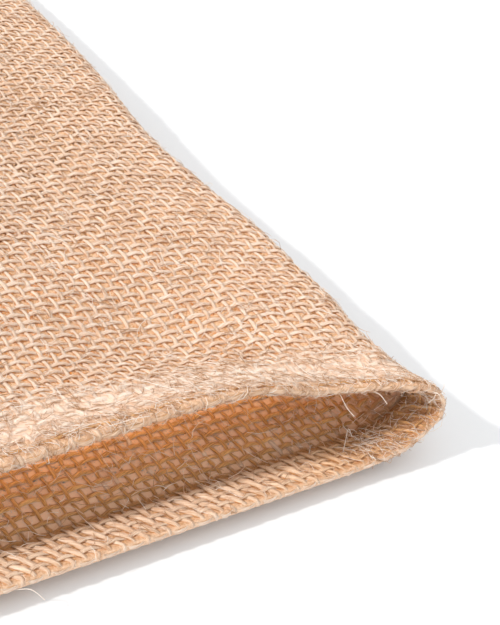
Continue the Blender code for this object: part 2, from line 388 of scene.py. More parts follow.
class Yarns:
    """Collects the centre lines of yarns, with what the node tree needs to know at each point."""

    def __init__(self, kind):
        self.kind = kind
        self.u, self.v, self.side, self.tone, self.size, self.key = [], [], [], [], [], []
        self.count = 0

    def add(self, number, start, stop, step):
        """Add one yarn of the given number, between two places along it."""
        total = max(int(round((stop - start) / step)), 1)
        place = start + (stop - start) * np.arange(total + 1) / total
        if self.kind == "warp":
            u, v = np.full(total + 1, number + 0.5), place
            wave = np.cos(np.pi * (place + number))
            frayed = FRAYED + (1.0 - FRAYED) * ease((place - RAW_EDGE) / 0.8)
            seed = 51
        else:
            u, v = place, np.full(total + 1, float(number))
            wave = -np.cos(np.pi * (place - 0.5 + number))
            frayed = 1.0
            seed = 52
        self.u.append(u)
        self.v.append(v)
        self.side.append(wave * (1.0 - RIM_CALM * swell(v, *RIM)))
        self.tone.append(0.5 + 0.5 * patches(number * 5.77 + 0.5, place / 21.0, seed))
        self.size.append(slubs(self.kind, number, place) * frayed)
        self.key.append(np.full(total + 1, self.count))
        self.count += 1

    def wire(self, name, shape):
        """The centre lines as a mesh of edges."""
        u, v = drifted(np.concatenate(self.u), np.concatenate(self.v))
        points, normals = shape.at(u, v)
        side, tone, size, key = [np.concatenate(part) for part in (self.side, self.tone, self.size, self.key)]
        deep, pale = hem_marks(u, v)
        raw, shade = hem_shade(u, v)
        # Yarns are stouter along the rubbed band and thinner in the crease, and the strands that the
        # warps make on the hem's inner strip are stouter still.
        size = size * (1.0 + 0.30 * pale - 0.35 * np.where(deep > 0.5, deep, 0.0))
        size = size * (1.0 + (0.55 if self.kind == "warp" else -0.15) * ease(-v - 0.2))
        if self.kind == "warp":
            # Warps have painted highlight specks on the inside, behind the hem, which take the rubbed band's
            # pale tint.
            glints = ease((patches(u * 0.9, v * 1.1, 61) - 0.50) / 0.25) * (u < FOLD)
            pale = np.maximum(pale, 1.5 * glints * ease(v - HEM_ROWS) * ease((GLINTS_END - v) / 3.0))
        return wire_mesh(name, points, normals, key, side=side, tone=tone, size=size, deep=deep, pale=pale,
                         raw=raw, shade=shade)


def wire_mesh(name, points, normals, key, **values):
    """A mesh of edges through points, broken where key changes, with values for the node tree."""
    first = np.nonzero(key[:-1] == key[1:])[0]
    mesh = bpy.data.meshes.new(name)
    mesh.vertices.add(len(points))
    mesh.vertices.foreach_set("co", (points * MM).ravel())
    mesh.edges.add(len(first))
    mesh.edges.foreach_set("vertices", np.stack([first, first + 1], axis=1).ravel())
    put(mesh, "face", "FLOAT_VECTOR", normals)
    for label, each in values.items():
        put(mesh, label, "FLOAT", each)
    put(mesh, "yarn", "FLOAT", (key * 0.618) % 1.0)
    mesh.update()
    return mesh


def put(mesh, name, kind, values):
    """Store values on a mesh's points."""
    attribute = mesh.attributes.new(name, kind, "POINT")
    attribute.data.foreach_set("vector" if kind == "FLOAT_VECTOR" else "value", np.asarray(values).ravel())


def node(tree, kind, inputs=None, **settings):
    """Add a node, set it up, and set or link its inputs."""
    made = tree.nodes.new(kind)
    for name, value in settings.items():
        setattr(made, name, value)
    for name, value in (inputs or {}).items():
        if isinstance(value, bpy.types.NodeSocket):
            tree.links.new(value, made.inputs[name])
        else:
            made.inputs[name].default_value = value
    return made


def calculate(tree, operation, first, second=0.5):
    """Add a node that calculates, and give its result."""
    return node(tree, "ShaderNodeMath", {0: first, 1: second}, operation=operation).outputs[0]


def calculate_vector(tree, operation, first, second):
    """Add a node that calculates with vectors, and give its result."""
    other = "Scale" if operation == "SCALE" else 1
    return node(tree, "ShaderNodeVectorMath", {0: first, other: second}, operation=operation).outputs[0]


def add_inputs(tree, sockets):
    """Give a node tree its geometry sockets and its named inputs."""
    tree.interface.new_socket("Geometry", in_out="INPUT", socket_type="NodeSocketGeometry")
    for name, kind, value in sockets:
        made = tree.interface.new_socket(name, in_out="INPUT", socket_type=kind)
        if value is not None:
            made.default_value = value
    tree.interface.new_socket("Geometry", in_out="OUTPUT", socket_type="NodeSocketGeometry")


def yarn_tree():
    """Node tree that spins a yarn round each centre line, over and under the threads it crosses."""
    tree = bpy.data.node_groups.new("Spun yarns", "GeometryNodeTree")
    add_inputs(tree, [
        ("Width", "NodeSocketFloat", 0.0019),
        ("Thickness", "NodeSocketFloat", 0.0009),
        ("Crimp", "NodeSocketFloat", 0.0004),
        ("Flatness", "NodeSocketFloat", 1.4),
        ("Sides", "NodeSocketInt", 6),
        ("Unevenness", "NodeSocketFloat", 0.12),
        ("Seed", "NodeSocketFloat", 3.0),
        ("Material", "NodeSocketMaterial", None),
    ])
    given = node(tree, "NodeGroupInput").outputs
    maths = partial(calculate, tree)
    vectors = partial(calculate_vector, tree)

    def named(name, kind):
        return node(tree, "GeometryNodeInputNamedAttribute", {"Name": name}, data_type=kind).outputs[0]

    face = named("face", "FLOAT_VECTOR")
    steep = maths("TANH", maths("MULTIPLY", named("side", "FLOAT"), given["Flatness"]))
    rise = maths("MULTIPLY", maths("DIVIDE", steep, maths("TANH", given["Flatness"])), given["Crimp"])
    offset = vectors("SCALE", face, rise)
    lines = node(tree, "GeometryNodeMeshToCurve", {"Mesh": given["Geometry"]}).outputs[0]
    lines = node(tree, "GeometryNodeSetPosition", {"Geometry": lines, "Offset": offset}).outputs[0]
    lines = node(tree, "GeometryNodeSetCurveNormal", {"Curve": lines}, mode="FREE")
    tree.links.new(face, lines.inputs["Normal"])
    length = node(tree, "GeometryNodeSplineParameter").outputs["Length"]
    lines = node(tree, "GeometryNodeStoreNamedAttribute",
                 {"Geometry": lines.outputs[0], "Name": "along", "Value": length},
                 data_type="FLOAT", domain="POINT").outputs[0]
    rough = node(tree, "ShaderNodeTexNoise", {"W": given["Seed"], "Scale": 900.0, "Detail": 1.0},
                 noise_dimensions="4D").outputs[0]
    rough = maths("MULTIPLY", maths("SUBTRACT", rough, 0.5), given["Unevenness"])
    radius = maths("MULTIPLY", named("size", "FLOAT"), maths("ADD", maths("MULTIPLY", rough, 2.0), 1.0))
    circle = node(tree, "GeometryNodeCurvePrimitiveCircle",
                  {"Resolution": given["Sides"], "Radius": 1.0}, mode="RADIUS").outputs[0]
    place = node(tree, "GeometryNodeInputPosition").outputs[0]
    circle = node(tree, "GeometryNodeStoreNamedAttribute",
                  {"Geometry": circle, "Name": "round", "Value": place},
                  data_type="FLOAT_VECTOR", domain="POINT").outputs[0]
    scale = node(tree, "ShaderNodeCombineXYZ", {
        "X": maths("MULTIPLY", given["Thickness"], 0.5),
        "Y": maths("MULTIPLY", given["Width"], 0.5),
        "Z": 1.0,
    }).outputs[0]
    circle = node(tree, "GeometryNodeTransform", {"Geometry": circle, "Scale": scale}).outputs[0]
    body = node(tree, "GeometryNodeCurveToMesh", {
        "Curve": lines, "Profile Curve": circle, "Scale": radius, "Fill Caps": True,
    }).outputs[0]
    lumps = node(tree, "ShaderNodeTexNoise", {"W": given["Seed"], "Scale": 2100.0, "Detail": 1.0},
                 noise_dimensions="4D").outputs[0]
    lumps = maths("MULTIPLY", maths("SUBTRACT", lumps, 0.5), maths("MULTIPLY", given["Unevenness"], 0.0022))
    outward = node(tree, "GeometryNodeInputNormal").outputs[0]
    lumps = vectors("SCALE", outward, lumps)
    body = node(tree, "GeometryNodeSetPosition", {"Geometry": body, "Offset": lumps}).outputs[0]
    body = node(tree, "GeometryNodeSetShadeSmooth", {"Geometry": body}).outputs[0]
    body = node(tree, "GeometryNodeRealizeInstances", {"Geometry": body}).outputs[0]
    body = node(tree, "GeometryNodeSetMaterial", {"Geometry": body, "Material": given["Material"]}).outputs[0]
    tree.links.new(body, node(tree, "NodeGroupOutput").inputs[0])
    return tree


def grown(name, wire, tree, **values):
    """Run a node tree on a mesh and keep the result as a plain mesh object."""
    source = bpy.data.objects.new(name + "_lines", wire)
    bpy.context.scene.collection.objects.link(source)
    modifier = source.modifiers.new("Grow", "NODES")
    modifier.node_group = tree
    identifiers = {item.name: item.identifier for item in tree.interface.items_tree
                   if item.item_type == "SOCKET" and item.in_out == "INPUT"}
    for label, value in values.items():
        modifier[identifiers[label]] = value
    graph = bpy.context.evaluated_depsgraph_get()
    mesh = bpy.data.meshes.new_from_object(source.evaluated_get(graph), depsgraph=graph)
    mesh.name = name
    bpy.data.objects.remove(source)
    bpy.data.meshes.remove(wire)
    piece = bpy.data.objects.new(name, mesh)
    bpy.context.scene.collection.objects.link(piece)
    return piece


def join_frame(piece):
    """Let a finished piece ride with the sack, in the place of its plain solid."""
    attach(piece, BODY)
    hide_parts(NODE)


# ---------------------------------------------------------------- materials

# Tints of red, green and blue: the painted shade at the raw edge and on the rows next to it, the
# yarns of the rubbed band and the painted highlight specks on the warps inside, the fuzz of the rubbed
# band, the painted shade on the fuzz inside the rim, and the painted light on the fuzz that the light
# comes through.
PAINTED_SHADE_TINT = (0.26, 0.10, 0.02, 1.0)
RUBBED_AND_HIGHLIGHT_TINT = (1.0, 0.83, 0.69, 1.0)
PALE_TINT = (0.98, 0.77, 0.62, 1.0)
HEM_SHADE_TINT = (0.50, 0.20, 0.05, 1.0)
LIT_TINT = (0.98, 0.66, 0.44, 1.0)
# How far the rubbed band's yarns and the painted highlight specks take their tint, and those at the raw edge
# and on the rows next to it the tint of painted shade.
RUBBED_AND_HIGHLIGHT_SHARE = 0.55
PAINTED_SHADE_SHARE = 0.62
# The pattern of fine fibres on a yarn: how dense it is round the yarn and over a metre along it, and
# how far apart in it two yarns can lie.
PATTERN_ROUND = 2.4
PATTERN_ALONG = 170.0
PATTERN_APART = 91.0
# How much that pattern, the blotches of the cloth and a yarn's own tone weigh in its lightness,
# and what is taken off, so that the middle of the range is a middle colour.
FIBRES_WEIGHT = 2.6
BLOTCH_WEIGHT = 0.45
TONE_WEIGHT = 0.25
LIGHTNESS_DROP = 1.10


def new_material(name):
    """A new material, with its node tree and its shader node."""
    material = bpy.data.materials.new(name)
    material.use_nodes = True
    return material, material.node_tree, material.node_tree.nodes["Principled BSDF"]


def set_sockets(shader, values):
    """Set what is the same all over a surface on the shader itself."""
    for name, value in values.items():
        shader.inputs[name].default_value = value


def stored(tree, label, output="Fac"):
    """A value that is stored on the mesh."""
    return node(tree, "ShaderNodeAttribute", attribute_name=label).outputs[output]


def noise(tree, place, scale, detail, roughness=0.5):
    """Noise from 0 to 1."""
    return node(tree, "ShaderNodeTexNoise", {"Vector": place, "Scale": scale, "Detail": detail,
                                             "Roughness": roughness}).outputs["Fac"]


def colour_ramp(tree, factor, *stops):
    """Colours between stops, the lowest and the highest first, each given as a place and a colour."""
    made = node(tree, "ShaderNodeValToRGB", {"Fac": factor})
    elements = made.color_ramp.elements
    for index, (place, colour) in enumerate(stops):
        element = elements[index] if index < 2 else elements.new(place)
        element.position = place
        element.color = (*colour, 1.0)
    return made.outputs["Color"]


def tinted(tree, colour, share, tint):
    """A colour with a share of a tint mixed in."""
    return node(tree, "ShaderNodeMix", {"Factor": share, 6: colour, 7: tint}, data_type="RGBA").outputs[2]


def bumpy(tree, shader, height, strength, distance):
    """Let a height make the surface of a material uneven."""
    bump = node(tree, "ShaderNodeBump", {"Height": height, "Strength": strength, "Distance": distance})
    tree.links.new(bump.outputs[0], shader.inputs["Normal"])


def yarn_material(name, colours, twist, coat=0.0):
    """Loosely twisted jute: fine fibres that wind round the yarn, paler and darker ones.

    The inner face of the cloth takes deeper, more orange colours than the outer one, as painted shade
    and painted warm light inside the sack. Each has a light and a deep colour, and the direction of a
    yarn's surface tells on which face of the cloth it lies. The hem's crease, its turned-in rim and the
    folded corner take the inner colours too, as painted shade, and the raw edge and the rows inside next
    to it a dark tint of painted shade.
    """
    material, tree, shader = new_material(name)
    maths = partial(calculate, tree)
    vectors = partial(calculate_vector, tree)

    along = stored(tree, "along")
    angle = maths("MULTIPLY", along, 2 * np.pi / twist)
    wound = node(tree, "ShaderNodeVectorRotate", {"Vector": stored(tree, "round", "Vector"), "Angle": angle},
                 rotation_type="Z_AXIS").outputs[0]
    length = node(tree, "ShaderNodeCombineXYZ", {"Z": maths("MULTIPLY", along, PATTERN_ALONG)}).outputs[0]
    key = maths("MULTIPLY", stored(tree, "yarn"), PATTERN_APART)
    key = node(tree, "ShaderNodeCombineXYZ", {"Z": key}).outputs[0]
    wound = vectors("ADD", vectors("ADD", vectors("SCALE", wound, PATTERN_ROUND), length), key)
    fibres = noise(tree, wound, 1.0, 3.0, 0.7)
    place = node(tree, "ShaderNodeTexCoord").outputs["Object"]
    blotch = noise(tree, place, 130.0, 3.0, 0.6)
    lightness = maths("SUBTRACT", maths("MULTIPLY", fibres, FIBRES_WEIGHT), LIGHTNESS_DROP)
    lightness = maths("ADD", lightness, maths("MULTIPLY", blotch, BLOTCH_WEIGHT))
    lightness = maths("ADD", lightness, maths("MULTIPLY", stored(tree, "tone"), TONE_WEIGHT))
    # Painted shade and painted warm light: faces turned to the sack's inside, and the hem's crease, turned-in
    # rim and folded corner, take the deeper, more orange inner colours.
    facing = node(tree, "ShaderNodeVectorMath", {
        0: node(tree, "ShaderNodeNewGeometry").outputs["Normal"], 1: stored(tree, "face", "Vector"),
    }, operation="DOT_PRODUCT").outputs["Value"]
    inward = node(tree, "ShaderNodeMapRange", {"Value": facing, "From Min": 0.15, "From Max": -0.35},
                  interpolation_type="SMOOTHSTEP").outputs[0]
    dark = maths("MAXIMUM", stored(tree, "raw"), maths("MULTIPLY", stored(tree, "shade"), inward))
    inward = node(tree, "ShaderNodeMath", {0: stored(tree, "deep"), 1: inward},
                  operation="ADD", use_clamp=True).outputs[0]
    outer = colour_ramp(tree, lightness, (0.10, colours.outer_deep), (0.85, colours.outer_light))
    inner = colour_ramp(tree, lightness, (0.10, colours.inner_deep), (0.85, colours.inner_light))
    colour = tinted(tree, outer, inward, inner)
    # The rubbed band's pale tint, which also paints the highlight specks on the warps inside.
    colour = tinted(tree, colour, maths("MULTIPLY", stored(tree, "pale"), RUBBED_AND_HIGHLIGHT_SHARE), RUBBED_AND_HIGHLIGHT_TINT)
    # Painted shade at the raw edge and on the rows inside, next to the hem.
    colour = tinted(tree, colour, maths("MULTIPLY", dark, PAINTED_SHADE_SHARE), PAINTED_SHADE_TINT)
    tree.links.new(colour, shader.inputs["Base Color"])
    bumpy(tree, shader, fibres, 1.0, 0.00030)
    set_sockets(shader, {
        "Roughness": 0.82, "Specular IOR Level": 0.35, "Sheen Weight": 0.25, "Sheen Roughness": 0.5,
        "Sheen Tint": (1.0, 0.90, 0.78, 1.0), "Coat Weight": coat, "Coat Roughness": 0.28,
    })
    return material


def fibre_material(colours):
    """Single loose fibres, from orange-brown to nearly white."""
    material, tree, shader = new_material("jute_fibre")
    colour = colour_ramp(tree, stored(tree, "tone"), (0.0, colours.fibre_deep), (1.0, colours.fibre_pale),
                         (0.40, colours.fibre_middle))
    tree.links.new(colour, shader.inputs["Base Color"])
    set_sockets(shader, {"Roughness": 0.55, "Specular IOR Level": 0.4})
    return material


def veil_material(colours):
    """The veil of fine fuzz that half closes the gaps between the yarns, closed along the hem."""
    material, tree, shader = new_material("jute_fuzz")
    maths = partial(calculate, tree)
    place = node(tree, "ShaderNodeTexCoord").outputs["Object"]
    fuzz = noise(tree, place, 2200.0, 2.0)
    drifts = noise(tree, place, 240.0, 1.0)
    cover = maths("SUBTRACT", maths("ADD", maths("MULTIPLY", drifts, 0.9), stored(tree, "cover")), 0.45)
    least = maths("SUBTRACT", 0.66, maths("MULTIPLY", cover, 0.32))
    alpha = node(tree, "ShaderNodeMapRange", {
        "Value": fuzz, "From Min": least, "From Max": maths("ADD", least, 0.05),
    }).outputs[0]
    tree.links.new(alpha, shader.inputs["Alpha"])
    colour = colour_ramp(tree, maths("ADD", maths("MULTIPLY", drifts, 0.35), fuzz),
                         (0.45, colours.fuzz_deep), (0.90, colours.fuzz_light))
    # The fuzz takes painted light on the lower layer's inner face, the pale tint of the band and rim, and
    # painted shade on the turned-in hem, at the raw edge and on the rows inside.
    for label, tint in (("through", LIT_TINT), ("pale", PALE_TINT), ("deep", HEM_SHADE_TINT), ("dark", PAINTED_SHADE_TINT)):
        colour = tinted(tree, colour, stored(tree, label), tint)
    tree.links.new(colour, shader.inputs["Base Color"])
    bumpy(tree, shader, fuzz, 0.8, 0.0002)
    set_sockets(shader, {"Roughness": 0.95, "Specular IOR Level": 0.2})
    return material


# ---------------------------------------------------------------- pieces

SHAPE = SackShape()

# The length over which the fibres wind once round a yarn, in metres.
YARN_TWIST = 0.012
# How far fuzz closes the gaps between the yarns. At 1 they are nearly closed.
UPPER_COVER = 0.85
LOWER_COVER = 1.1
# How far the fuzz lies behind the middle of the cloth, seen from the face that shows, how far it
# comes forward again along the rubbed band and the rim, and the share of the latter on the upper lip.
VEIL_DEPTH = 0.17
BAND_FUZZ = 0.38
RIM_FUZZ = 0.50
UPPER_RIM = 0.45

# The part of the cloth in the foreground has finer yarns: on top from warp NEAR_FOLD to NEAR_TOP,
# over fewer rows the further the warp lies from the fold, and inside behind the mouth.
NEAR_FOLD = 93
NEAR_TOP = 150
NEAR_ROWS = 84
NEAR_SLOPE = 1.45
INSIDE_FROM = 52
INSIDE_ROWS = 14
# The step along a fine yarn, in threads, and the sides of a fine and of a coarse one.
FINE = 0.25
FINE_SIDES = 6
COARSE_SIDES = 3
# A coarse yarn is a little larger, to look as stout as a rounder one.
COARSE_WIDTH = 1.18
COARSE_THICKNESS = 1.45


def near_rows(number):
    """The row to which the warp of that number is fine, where it passes under a weft, or None."""
    if number >= FOLD - 1:
        last = NEAR_ROWS - NEAR_SLOPE * (number - FOLD)
    elif number >= NEAR_FOLD:
        last = NEAR_ROWS
    elif number >= INSIDE_FROM:
        last = INSIDE_ROWS
    else:
        return None
    if number >= NEAR_TOP or last < 1:
        return None
    last = int(last)
    return last if (last + number) % 2 else last + 1


def near_warps(row):
    """The places from and to which a row's weft is fine, where it passes under a warp, or None."""
    if row > NEAR_ROWS:
        return None
    first = INSIDE_FROM if row <= INSIDE_ROWS else NEAR_FOLD
    last = min(NEAR_TOP, int(FOLD + (NEAR_ROWS - row) / NEAR_SLOPE))
    if (first + row) % 2:
        first += 1
    if (last + row) % 2:
        last += 1
    return first + 0.5, last + 0.5


def build_cloth(colours):
    """The cloth itself, as one thin sheet on the folds of the sack."""
    u = np.concatenate([np.arange(0, 1, 0.25), np.arange(1, 90, 2), np.arange(90, 110, 0.5),
                        np.arange(110, 199, 2), np.arange(199, 200.01, 0.25)])
    v = np.concatenate([np.arange(RAW_EDGE, -0.8, 0.5), np.arange(-0.75, 0.8, 0.125), np.arange(1, 12, 0.75),
                        np.arange(12, 159, 2), np.arange(159, 160.01, 0.25)])
    uu, vv = np.meshgrid(u, v, indexing="ij")
    points, normals = SHAPE.at(uu.ravel(), vv.ravel())
    deep, pale = hem_marks(uu, vv)
    # The lower layer shows its inner face, and the fuzz lies behind the yarns there too.
    from_inside = ease((FOLD - 4.0 - uu) / 4.0) * ease(vv - 1.0)
    rim = swell(vv, *RIM_TUFTS) * (UPPER_RIM + (1.0 - UPPER_RIM) * ease((FOLD + 2.0 - uu) / 4.0))
    back = VEIL_DEPTH * (2.0 * from_inside - 1.0) * (1.0 + 0.6 * ease(-vv))
    back = back + BAND_FUZZ * pale + RIM_FUZZ * rim
    points = points + normals * back.ravel()[:, None]
    rows = len(v)
    index = np.arange(len(u) * rows).reshape(len(u), rows)
    faces = np.stack([index[:-1, :-1], index[:-1, 1:], index[1:, 1:], index[1:, :-1]], axis=-1).reshape(-1, 4)
    mesh = bpy.data.meshes.new("sack_cloth")
    mesh.from_pydata((points * MM).tolist(), [], faces.tolist())
    mesh.shade_smooth()
    piece = bpy.data.objects.new("sack_cloth", mesh)
    bpy.context.scene.collection.objects.link(piece)
    cover = UPPER_COVER + (LOWER_COVER - UPPER_COVER) * (uu < FOLD) + (1.0 - ease((vv - HEM_ROWS) / 3.0))
    put(mesh, "cover", "FLOAT", cover + rim)
    # Painted light on the fuzz of the lower layer's inner face, as if lit through the weave.
    put(mesh, "through", "FLOAT", (uu < FOLD - 4) * ease((vv - HEM_ROWS) / 2.0))
    raw, shade = hem_shade(uu, vv)
    # Painted shade on the fuzz at the raw edge and on the rows inside, next to the hem.
    put(mesh, "dark", "FLOAT", np.maximum(0.8 * raw, 0.35 * shade))
    put(mesh, "pale", "FLOAT", np.maximum(0.7 * pale, 0.4 * rim))
    # Painted shade on the fuzz of the turned-in hem, more at the folded corner.
    put(mesh, "deep", "FLOAT", np.where(vv < 0.0, 0.6 * deep, 0.0))
    mesh.materials.append(veil_material(colours))
    join_frame(piece)


def build_yarns(weave, colours):
    """All warps and wefts, coarse over most of the sack and fine in the foreground."""
    tree = yarn_tree()
    material = yarn_material("jute_yarn", colours, YARN_TWIST)
    glossy = yarn_material("jute_yarn_inside", colours, YARN_TWIST, coat=0.35)
    far = {(kind, layer): Yarns(kind) for kind in ("warp", "weft") for layer in ("lower", "upper")}
    near = {(kind, layer): Yarns(kind) for kind in ("warp", "weft") for layer in ("inside", "top")}
    for number in range(WARPS):
        layer = "upper" if number >= FOLD else "lower"
        last = near_rows(number)
        if last is None:
            far["warp", layer].add(number, RAW_EDGE, -HEM_ROWS, 1.0)
            far["warp", layer].add(number, -HEM_ROWS, 1.0, 0.5)
            far["warp", layer].add(number, 1.0, ROWS, 1.0)
            continue
        near["warp", "top" if number >= NEAR_FOLD else "inside"].add(number, RAW_EDGE, last, FINE)
        far["warp", layer].add(number, last, ROWS, 1.0)
    for row in range(-HEM_ROWS, ROWS + 1):
        fine = near_warps(row)
        if fine is None:
            far["weft", "lower"].add(row, 0.5, FOLD - 0.5, 1.0)
            far["weft", "upper"].add(row, FOLD - 0.5, WARPS - 0.5, 1.0)
            continue
        start, stop = fine
        far["weft", "lower"].add(row, 0.5, start, 1.0)
        if start < NEAR_FOLD:
            near["weft", "inside"].add(row, start, NEAR_FOLD + 0.5, FINE)
            start = NEAR_FOLD + 0.5
        near["weft", "top"].add(row, start, stop, FINE)
        far["weft", "upper"].add(row, stop, WARPS - 0.5, 1.0)
    for (kind, layer), yarns in list(far.items()) + list(near.items()):
        coarse = layer in ("lower", "upper")
        name = f"{kind}s_{layer}"
        join_frame(grown(name, yarns.wire(name, SHAPE), tree, **{
            "Width": getattr(weave, kind + "_width") * (COARSE_WIDTH if coarse else 1.0),
            "Thickness": getattr(weave, kind + "_thickness") * (COARSE_THICKNESS if coarse else 1.0),
            "Crimp": getattr(weave, kind + "_crimp"),
            "Sides": COARSE_SIDES if coarse else FINE_SIDES,
            "Unevenness": 0.10 if coarse else 0.22,
            "Material": glossy if layer == "inside" else material,
        }))


# Loose fibres: a name, how many, the stretch of the cloth as u and v, the face on which they lie
# (1 for the outer one, -1 for the inner one), how far they stand off and how long they are, in
# millimetres.
FIBRE_FIELDS = (
    ("fibres_top", 5000, (98.0, 150.0), (5.0, 84.0), 1, 0.4, 3.4),
    ("fibres_band", 1900, (92.0, 150.0), (1.2, 6.0), 1, 0.3, 3.0),
    ("fibres_rim", 2900, (92.0, 150.0), (-3.3, 1.4), 1, 0.45, 2.4),
    ("fibres_inside", 1000, (52.0, 98.0), (-3.8, 14.0), -1, 0.6, 3.4),
    ("fibres_back", 500, (100.0, 199.0), (0.0, 159.0), 1, 0.8, 4.0),
)
FIBRE_POINTS = 4
# How much fibres stray from the four directions that most of them take, in radians.
FIBRE_TILT = 0.5
# How far above the cloth's middle a fibre starts, and the lowest row that it reaches.
FIBRE_BASE = 0.42
FIBRE_LAST_ROW = -4.6


def fibre_field(name, count, across, along, face, lift, mean_length, seed):
    """Centre lines of fibres that start all over a stretch of the cloth and curl off it."""
    random = np.random.default_rng(seed)
    u = random.uniform(*across, count)
    v = random.uniform(*along, count)
    length = random.gamma(3.0, mean_length / 3.0, count) / PITCH
    heading = random.normal(0.0, FIBRE_TILT, count) + random.choice([0.0, 0.5, 1.0, 1.5], count) * np.pi
    bend = random.normal(0.0, 1.1, count)
    height = random.gamma(1.3, lift / 1.3, count)
    open_end = random.uniform(0.0, 1.0, count) < 0.5
    share = np.linspace(0.0, 1.0, FIBRE_POINTS)[None]
    turn = heading[:, None] + bend[:, None] * share
    step = length[:, None] / (FIBRE_POINTS - 1)
    uu = u[:, None] + np.cumsum(np.cos(turn) * step, axis=1)
    vv = v[:, None] + np.cumsum(np.sin(turn) * step, axis=1)
    uu = np.clip(uu, 0.3, WARPS - 0.3)
    vv = np.clip(vv, FIBRE_LAST_ROW, ROWS - 0.3)
    arch = np.where(open_end[:, None], share ** 1.6, 4.0 * share * (1.0 - share) * 0.6)
    points, normals = SHAPE.at(uu.ravel(), vv.ravel())
    flip = np.where(vv.ravel() < 0.0, 1.0, float(face))[:, None]
    off = (FIBRE_BASE + height[:, None] * arch).ravel()[:, None]
    taper = np.broadcast_to(1.0 - 0.6 * share ** 2, uu.shape) * random.uniform(0.7, 1.35, count)[:, None]
    tone = np.broadcast_to(random.beta(1.3, 1.2, count)[:, None], uu.shape)
    key = np.repeat(np.arange(count), FIBRE_POINTS)
    return wire_mesh(name, points + normals * flip * off, normals, key,
                     side=np.zeros(uu.size), tone=tone.ravel(), size=taper.ravel())


# Long hairs that catch the eye: the start as u and v, then steps across, back and up from it, in
# millimetres.
LOOSE_HAIRS = (
    (111.75, 1.25, ((1.2, -2.4, -0.8), (2.1, -5.2, -3.1), (2.9, -7.0, -4.1))),
    (108.0, -0.25, ((0.9, -1.2, -0.2), (1.6, -2.9, -1.3))),
    (131.75, 0.4, ((4.2, -0.6, 0.9), (8.3, -0.7, 0.5))),
    (91.0, -2.0, ((0.9, 1.1, 2.0), (1.8, 2.2, 3.9), (2.1, 0.8, 2.8))),
    (60.0, 0.1, ((2.0, -1.4, 0.6), (3.9, -3.2, -1.0))),
    (103.0, 0.0, ((-0.9, -0.6, -0.6), (-1.7, -0.3, -1.9))),
    (103.5, 0.0, ((0.7, -1.2, 0.1), (1.3, -2.2, -1.0))),
)


def loose_hairs(name):
    """Centre lines of the long hairs that are listed one by one."""
    lines = []
    for u, v, steps in LOOSE_HAIRS:
        start, normal = SHAPE.at(np.array([u]), np.array([v]))
        corners = start + normal * 0.4 + np.array([(0.0, 0.0, 0.0), *steps])
        ends = np.arange(len(corners))
        at = np.linspace(0.0, len(steps), 3 * len(steps) + 1)
        lines.append(np.stack([read_curve(ends, corners[:, i], at) for i in range(3)], axis=1))
    key = np.repeat(np.arange(len(lines)), [len(line) for line in lines])
    points = np.concatenate(lines)
    up = np.tile((0.0, 0.0, 1.0), (len(points), 1))
    return wire_mesh(name, points, up, key, side=np.zeros(len(points)), tone=np.full(len(points), 0.85),
                     size=np.full(len(points), 1.3))


def build_fibres(weave, colours):
    """The fuzz of single fibres that stand off the yarns, and the long hairs."""
    tree = bpy.data.node_groups["Spun yarns"]
    material = fibre_material(colours)
    wires = [fibre_field(*field, seed + 71) for seed, field in enumerate(FIBRE_FIELDS)]
    for wire in wires + [loose_hairs("loose_hairs")]:
        join_frame(grown(wire.name, wire, tree, **{
            "Width": weave.fibre_thickness, "Thickness": weave.fibre_thickness,
            "Crimp": 0.0, "Sides": COARSE_SIDES, "Unevenness": 0.0, "Material": material,
        }))


# ---------------------------------------------------------------- stage

# The camera's place, in metres, the directions of its right side and its back, and its lens.
CAMERA_PLACE = (-0.0657, -0.3316, 0.1874)
CAMERA_RIGHT = (0.8023, -0.5556, 0.2181)
CAMERA_BACK = (-0.5621, -0.5804, 0.5892)
LENS = 81.5
# A small lamp inside the sack stands for the light that comes through the open weave, in metres.
GLOW_PLACE = (0.058, -0.146, 0.0105)
GLOW_SIZE = (0.11, 0.06)
# The floor lies a little below the sack.
FLOOR_LEVEL = -0.0001


def add_floor(settings):
    """A plain pale floor."""
    half = settings.floor_size / 2
    mesh = bpy.data.meshes.new("floor")
    corners = [(x, y, FLOOR_LEVEL) for x, y in ((-half, -half), (half, -half), (half, half), (-half, half))]
    mesh.from_pydata(corners, [], [(0, 1, 2, 3)])
    floor = bpy.data.objects.new("floor", mesh)
    bpy.context.scene.collection.objects.link(floor)
    material, _, shader = new_material("pale_floor")
    set_sockets(shader, {"Base Color": (*settings.floor_colour, 1.0), "Roughness": 0.9,
                         "Specular IOR Level": 0.1})
    mesh.materials.append(material)


def add_lights(settings):
    """One low light from the left, the light through the cloth, and soft pale surroundings."""
    lamp = bpy.data.lights.new("key_light", "SUN")
    lamp.energy = settings.key_strength
    lamp.angle = settings.key_softness
    key = bpy.data.objects.new("key_light", lamp)
    travel = Vector((np.cos(settings.key_height) * np.cos(settings.key_turn),
                     np.cos(settings.key_height) * np.sin(settings.key_turn),
                     -np.sin(settings.key_height)))
    key.rotation_mode = "QUATERNION"
    key.rotation_quaternion = travel.to_track_quat("-Z", "Y")
    bpy.context.scene.collection.objects.link(key)

    glow = bpy.data.lights.new("light_through_cloth", "AREA")
    glow.shape = "RECTANGLE"
    glow.size, glow.size_y = GLOW_SIZE
    glow.energy = settings.glow_strength
    glow.color = settings.glow_colour
    lamp_object = bpy.data.objects.new("light_through_cloth", glow)
    lamp_object.location = GLOW_PLACE
    lamp_object.visible_camera = False
    bpy.context.scene.collection.objects.link(lamp_object)

    world = bpy.data.worlds.new("studio")
    world.use_nodes = True
    background = world.node_tree.nodes["Background"]
    background.inputs["Color"].default_value = (*settings.fill_colour, 1.0)
    background.inputs["Strength"].default_value = settings.fill_strength
    bpy.context.scene.world = world


